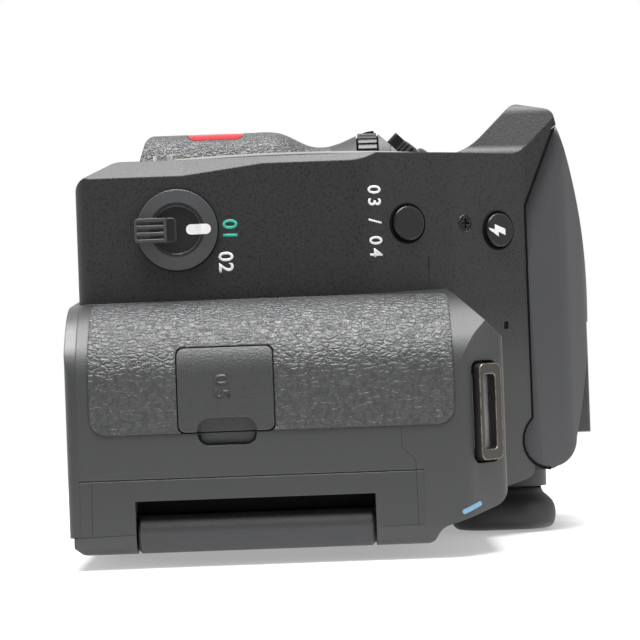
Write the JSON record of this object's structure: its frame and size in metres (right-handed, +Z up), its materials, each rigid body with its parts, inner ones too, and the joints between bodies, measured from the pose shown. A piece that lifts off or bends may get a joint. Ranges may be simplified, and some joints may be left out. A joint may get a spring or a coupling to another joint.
{
  "type": "digital slr camera",
  "caption": "Digital single-lens reflex camera body with hand grip, pop-up flash, bayonet lens mount and side-hinged screen.",
  "frame": {"origin": "mouth of the tripod socket in the base, under the lens axis", "axes": "+Z up, -Y out of the lens mount, +X towards the viewer's left"},
  "size_m": [0.1258, 0.0815, 0.0931],
  "materials": {
    "body_plastic": "fine textured charcoal moulding",
    "cover_plastic": "satin dark grey moulding",
    "button_plastic": "satin black",
    "dial_plastic": "satin black with knurled rim",
    "rubber_skin": "leather-grain rubber",
    "rubber_soft": "soft matt rubber",
    "bright_steel": "bright turned steel",
    "dark_steel": "blackened steel, worn bright at the edges",
    "black_screw": "black oxide",
    "gold_contact": "gold plated",
    "inner_black": "flocked matt black",
    "optic_glass": "clear optical glass",
    "mirror_face": "front-silvered mirror",
    "focus_glass": "finely ground glass",
    "blade_metal": "black lacquered metal",
    "sensor_face": "dark filter glass over the sensor",
    "board_green": "circuit board",
    "battery_shell": "matt grey",
    "card_plastic": "matt dark blue",
    "red_window": "clear dark red",
    "screen_glass": "black glass",
    "flash_glass": "ribbed clear window"
  },
  "bodies": {
    "body": {"front_cover": "body_plastic", "top_cover": "body_plastic", "rear_cover": "body_plastic", "base_plate": "body_plastic", "tripod_socket": "bright_steel", "case_screws": "black_screw", "mount_ring": "bright_steel", "mount_screws": "bright_steel", "lens_contacts": "gold_contact", "mirror_box": "inner_black", "focusing_screen": "focus_glass", "pentaprism": "optic_glass", "eyepiece_lens": "optic_glass", "eyecup": "rubber_soft", "shutter_frame": "inner_black", "main_board": "board_green", "battery": "battery_shell", "memory_card": "card_plastic", "grip_cover": "rubber_skin", "remote_window": "red_window", "side_cover": "rubber_skin", "microphone_socket": "bright_steel", "hot_shoe": "dark_steel", "hot_shoe_contacts": "gold_contact", "strap_lugs": "dark_steel"},
    "lens_release_button": {"lens_release_button": "button_plastic"},
    "lock_pin": {"lock_pin": "bright_steel"},
    "af_coupler": {"af_coupler": "bright_steel"},
    "aperture_lever": {"aperture_lever": "bright_steel"},
    "main_mirror": {"main_mirror": "mirror_face"},
    "shutter_blade_upper": {"shutter_blade_upper": "blade_metal"},
    "shutter_blade_middle": {"shutter_blade_middle": "blade_metal"},
    "shutter_blade_lower": {"shutter_blade_lower": "blade_metal"},
    "sensor_carriage": {"sensor_carriage": "blade_metal"},
    "image_sensor": {"image_sensor": "sensor_face"},
    "battery_door": {"battery_door": "body_plastic"},
    "battery_latch": {"battery_latch": "button_plastic"},
    "card_door": {"card_door": "body_plastic"},
    "microphone_cover": {"microphone_cover": "rubber_skin"},
    "flash": {"flash_head": "cover_plastic", "flash_window": "flash_glass"},
    "mode_dial": {"mode_dial": "dial_plastic"},
    "shutter_button": {"shutter_button": "button_plastic"},
    "power_lever": {"power_lever": "button_plastic"},
    "front_dial": {"front_dial": "dial_plastic"},
    "rear_dial": {"rear_dial": "dial_plastic"},
    "exposure_button": {"exposure_button": "button_plastic"},
    "side_button": {"side_button": "button_plastic"},
    "flash_button": {"flash_button": "button_plastic"},
    "focus_selector": {"focus_selector": "dial_plastic"},
    "menu_button": {"menu_button": "button_plastic"},
    "play_button": {"play_button": "button_plastic"},
    "info_button": {"info_button": "button_plastic"},
    "live_view_button": {"live_view_button": "button_plastic"},
    "four_way_pad": {"four_way_pad": "button_plastic"},
    "ok_button": {"ok_button": "button_plastic"},
    "screen": {"screen_hinge": "body_plastic", "screen_panel": "cover_plastic", "screen_glass": "screen_glass"},
    "dioptre_slider": {"dioptre_slider": "button_plastic"}
  },
  "joints": [
    {"name": "lens_release_press", "type": "slide", "parent": "body", "child": "lens_release_button", "axis": [0, 1, 0], "range_m": [0, 0.002], "stiffness_N_per_m": 400},
    {"name": "lock_pin_retract", "type": "slide", "parent": "body", "child": "lock_pin", "axis": [0, 1, 0], "range_m": [0, 0.0014]},
    {"name": "af_coupler_spin", "type": "hinge", "parent": "body", "child": "af_coupler", "pos_m": [-0.01206, -0.0283, 0.01328], "axis": [0, -1, 0], "continuous": true},
    {"name": "aperture_lever_swing", "type": "hinge", "parent": "body", "child": "aperture_lever", "pos_m": [0, -0.0283, 0.038], "axis": [0, -1, 0], "range_deg": [0, 12]},
    {"name": "mirror_flip", "type": "hinge", "parent": "body", "child": "main_mirror", "pos_m": [0, 0.0106, 0.0494], "axis": [-1, 0, 0], "range_deg": [0, 45]},
    {"name": "shutter_upper_travel", "type": "slide", "parent": "body", "child": "shutter_blade_upper", "axis": [0, 0, -1], "range_m": [0, 0.018]},
    {"name": "shutter_middle_travel", "type": "slide", "parent": "body", "child": "shutter_blade_middle", "axis": [0, 0, -1], "range_m": [0, 0.012]},
    {"name": "shutter_lower_travel", "type": "slide", "parent": "body", "child": "shutter_blade_lower", "axis": [0, 0, -1], "range_m": [0, 0.006]},
    {"name": "sensor_shift_across", "type": "slide", "parent": "body", "child": "sensor_carriage", "axis": [1, 0, 0], "range_m": [-0.0012, 0.0012]},
    {"name": "sensor_shift_upright", "type": "slide", "parent": "sensor_carriage", "child": "image_sensor", "axis": [0, 0, 1], "range_m": [-0.0012, 0.0012]},
    {"name": "battery_door_swing", "type": "hinge", "parent": "body", "child": "battery_door", "pos_m": [-0.0456, 0, 0.0015], "axis": [0, -1, 0], "range_deg": [0, 95]},
    {"name": "battery_latch_slide", "type": "slide", "parent": "battery_door", "child": "battery_latch", "axis": [0, 1, 0], "range_m": [0, 0.002]},
    {"name": "card_door_swing", "type": "hinge", "parent": "body", "child": "card_door", "pos_m": [-0.068, 0.0102, 0.037], "axis": [0, 0, 1], "range_deg": [0, 90]},
    {"name": "microphone_cover_swing", "type": "hinge", "parent": "body", "child": "microphone_cover", "pos_m": [0.05545, 0.0058, 0.0269], "axis": [0, 0, -1], "range_deg": [0, 80]},
    {"name": "flash_rise", "type": "hinge", "parent": "body", "child": "flash", "pos_m": [0, 0.0253, 0.0847], "axis": [-1, 0, 0], "range_deg": [0, 62]},
    {"name": "mode_dial_turn", "type": "hinge", "parent": "body", "child": "mode_dial", "pos_m": [-0.04, 0.008, 0.072], "axis": [0, 0, 1], "continuous": true},
    {"name": "shutter_button_press", "type": "slide", "parent": "body", "child": "shutter_button", "axis": [0, 0.7071, -0.7071], "range_m": [0, 0.001], "stiffness_N_per_m": 500},
    {"name": "power_lever_turn", "type": "hinge", "parent": "body", "child": "power_lever", "pos_m": [-0.052, -0.0275, 0.067], "axis": [0, -0.7071, 0.7071], "range_deg": [-25, 25]},
    {"name": "front_dial_turn", "type": "hinge", "parent": "body", "child": "front_dial", "pos_m": [-0.052, -0.0308, 0.0526], "axis": [0, 0, 1], "continuous": true},
    {"name": "rear_dial_turn", "type": "hinge", "parent": "body", "child": "rear_dial", "pos_m": [-0.05, 0.0286, 0.0652], "axis": [0, 0, 1], "continuous": true},
    {"name": "exposure_button_press", "type": "slide", "parent": "body", "child": "exposure_button", "axis": [0, 0, -1], "range_m": [0, 0.0006], "stiffness_N_per_m": 600},
    {"name": "side_button_press", "type": "slide", "parent": "body", "child": "side_button", "axis": [-0.8877, 0, -0.4605], "range_m": [0, 0.0006], "stiffness_N_per_m": 600},
    {"name": "flash_button_press", "type": "slide", "parent": "body", "child": "flash_button", "axis": [-0.8165, 0, -0.5774], "range_m": [0, 0.0006], "stiffness_N_per_m": 600},
    {"name": "focus_selector_turn", "type": "hinge", "parent": "body", "child": "focus_selector", "pos_m": [0.038, -0.0148, 0.0187], "axis": [-1, 0, 0], "range_deg": [0, 34]},
    {"name": "menu_button_press", "type": "slide", "parent": "body", "child": "menu_button", "axis": [0, -1, 0], "range_m": [0, 0.0006], "stiffness_N_per_m": 600},
    {"name": "play_button_press", "type": "slide", "parent": "body", "child": "play_button", "axis": [0, -1, 0], "range_m": [0, 0.0006], "stiffness_N_per_m": 600},
    {"name": "info_button_press", "type": "slide", "parent": "body", "child": "info_button", "axis": [0, -1, 0], "range_m": [0, 0.0006], "stiffness_N_per_m": 600},
    {"name": "live_view_button_press", "type": "slide", "parent": "body", "child": "live_view_button", "axis": [0, -1, 0], "range_m": [0, 0.0006], "stiffness_N_per_m": 600},
    {"name": "four_way_pad_rock", "type": "hinge", "parent": "body", "child": "four_way_pad", "pos_m": [-0.0495, 0.035, 0.03], "axis": [0, 0, 1], "range_deg": [-2.5, 2.5], "stiffness_Nm_per_rad": 0.06},
    {"name": "ok_button_press", "type": "slide", "parent": "body", "child": "ok_button", "axis": [0, -1, 0], "range_m": [0, 0.0008], "stiffness_N_per_m": 600},
    {"name": "screen_swing", "type": "hinge", "parent": "body", "child": "screen", "pos_m": [0.0532, 0.0368, 0.03], "axis": [0, 0, -1], "range_deg": [0, 175]},
    {"name": "dioptre_slide", "type": "slide", "parent": "body", "child": "dioptre_slider", "axis": [1, 0, 0], "range_m": [-0.0034, 0.0034]}
  ],
  "couplings": [
    {"joint": "lock_pin_retract", "follows": "lens_release_press", "ratio": 0.7},
    {"joint": "shutter_middle_travel", "follows": "shutter_upper_travel", "ratio": 0.66667},
    {"joint": "shutter_lower_travel", "follows": "shutter_upper_travel", "ratio": 0.33333}
  ]
}
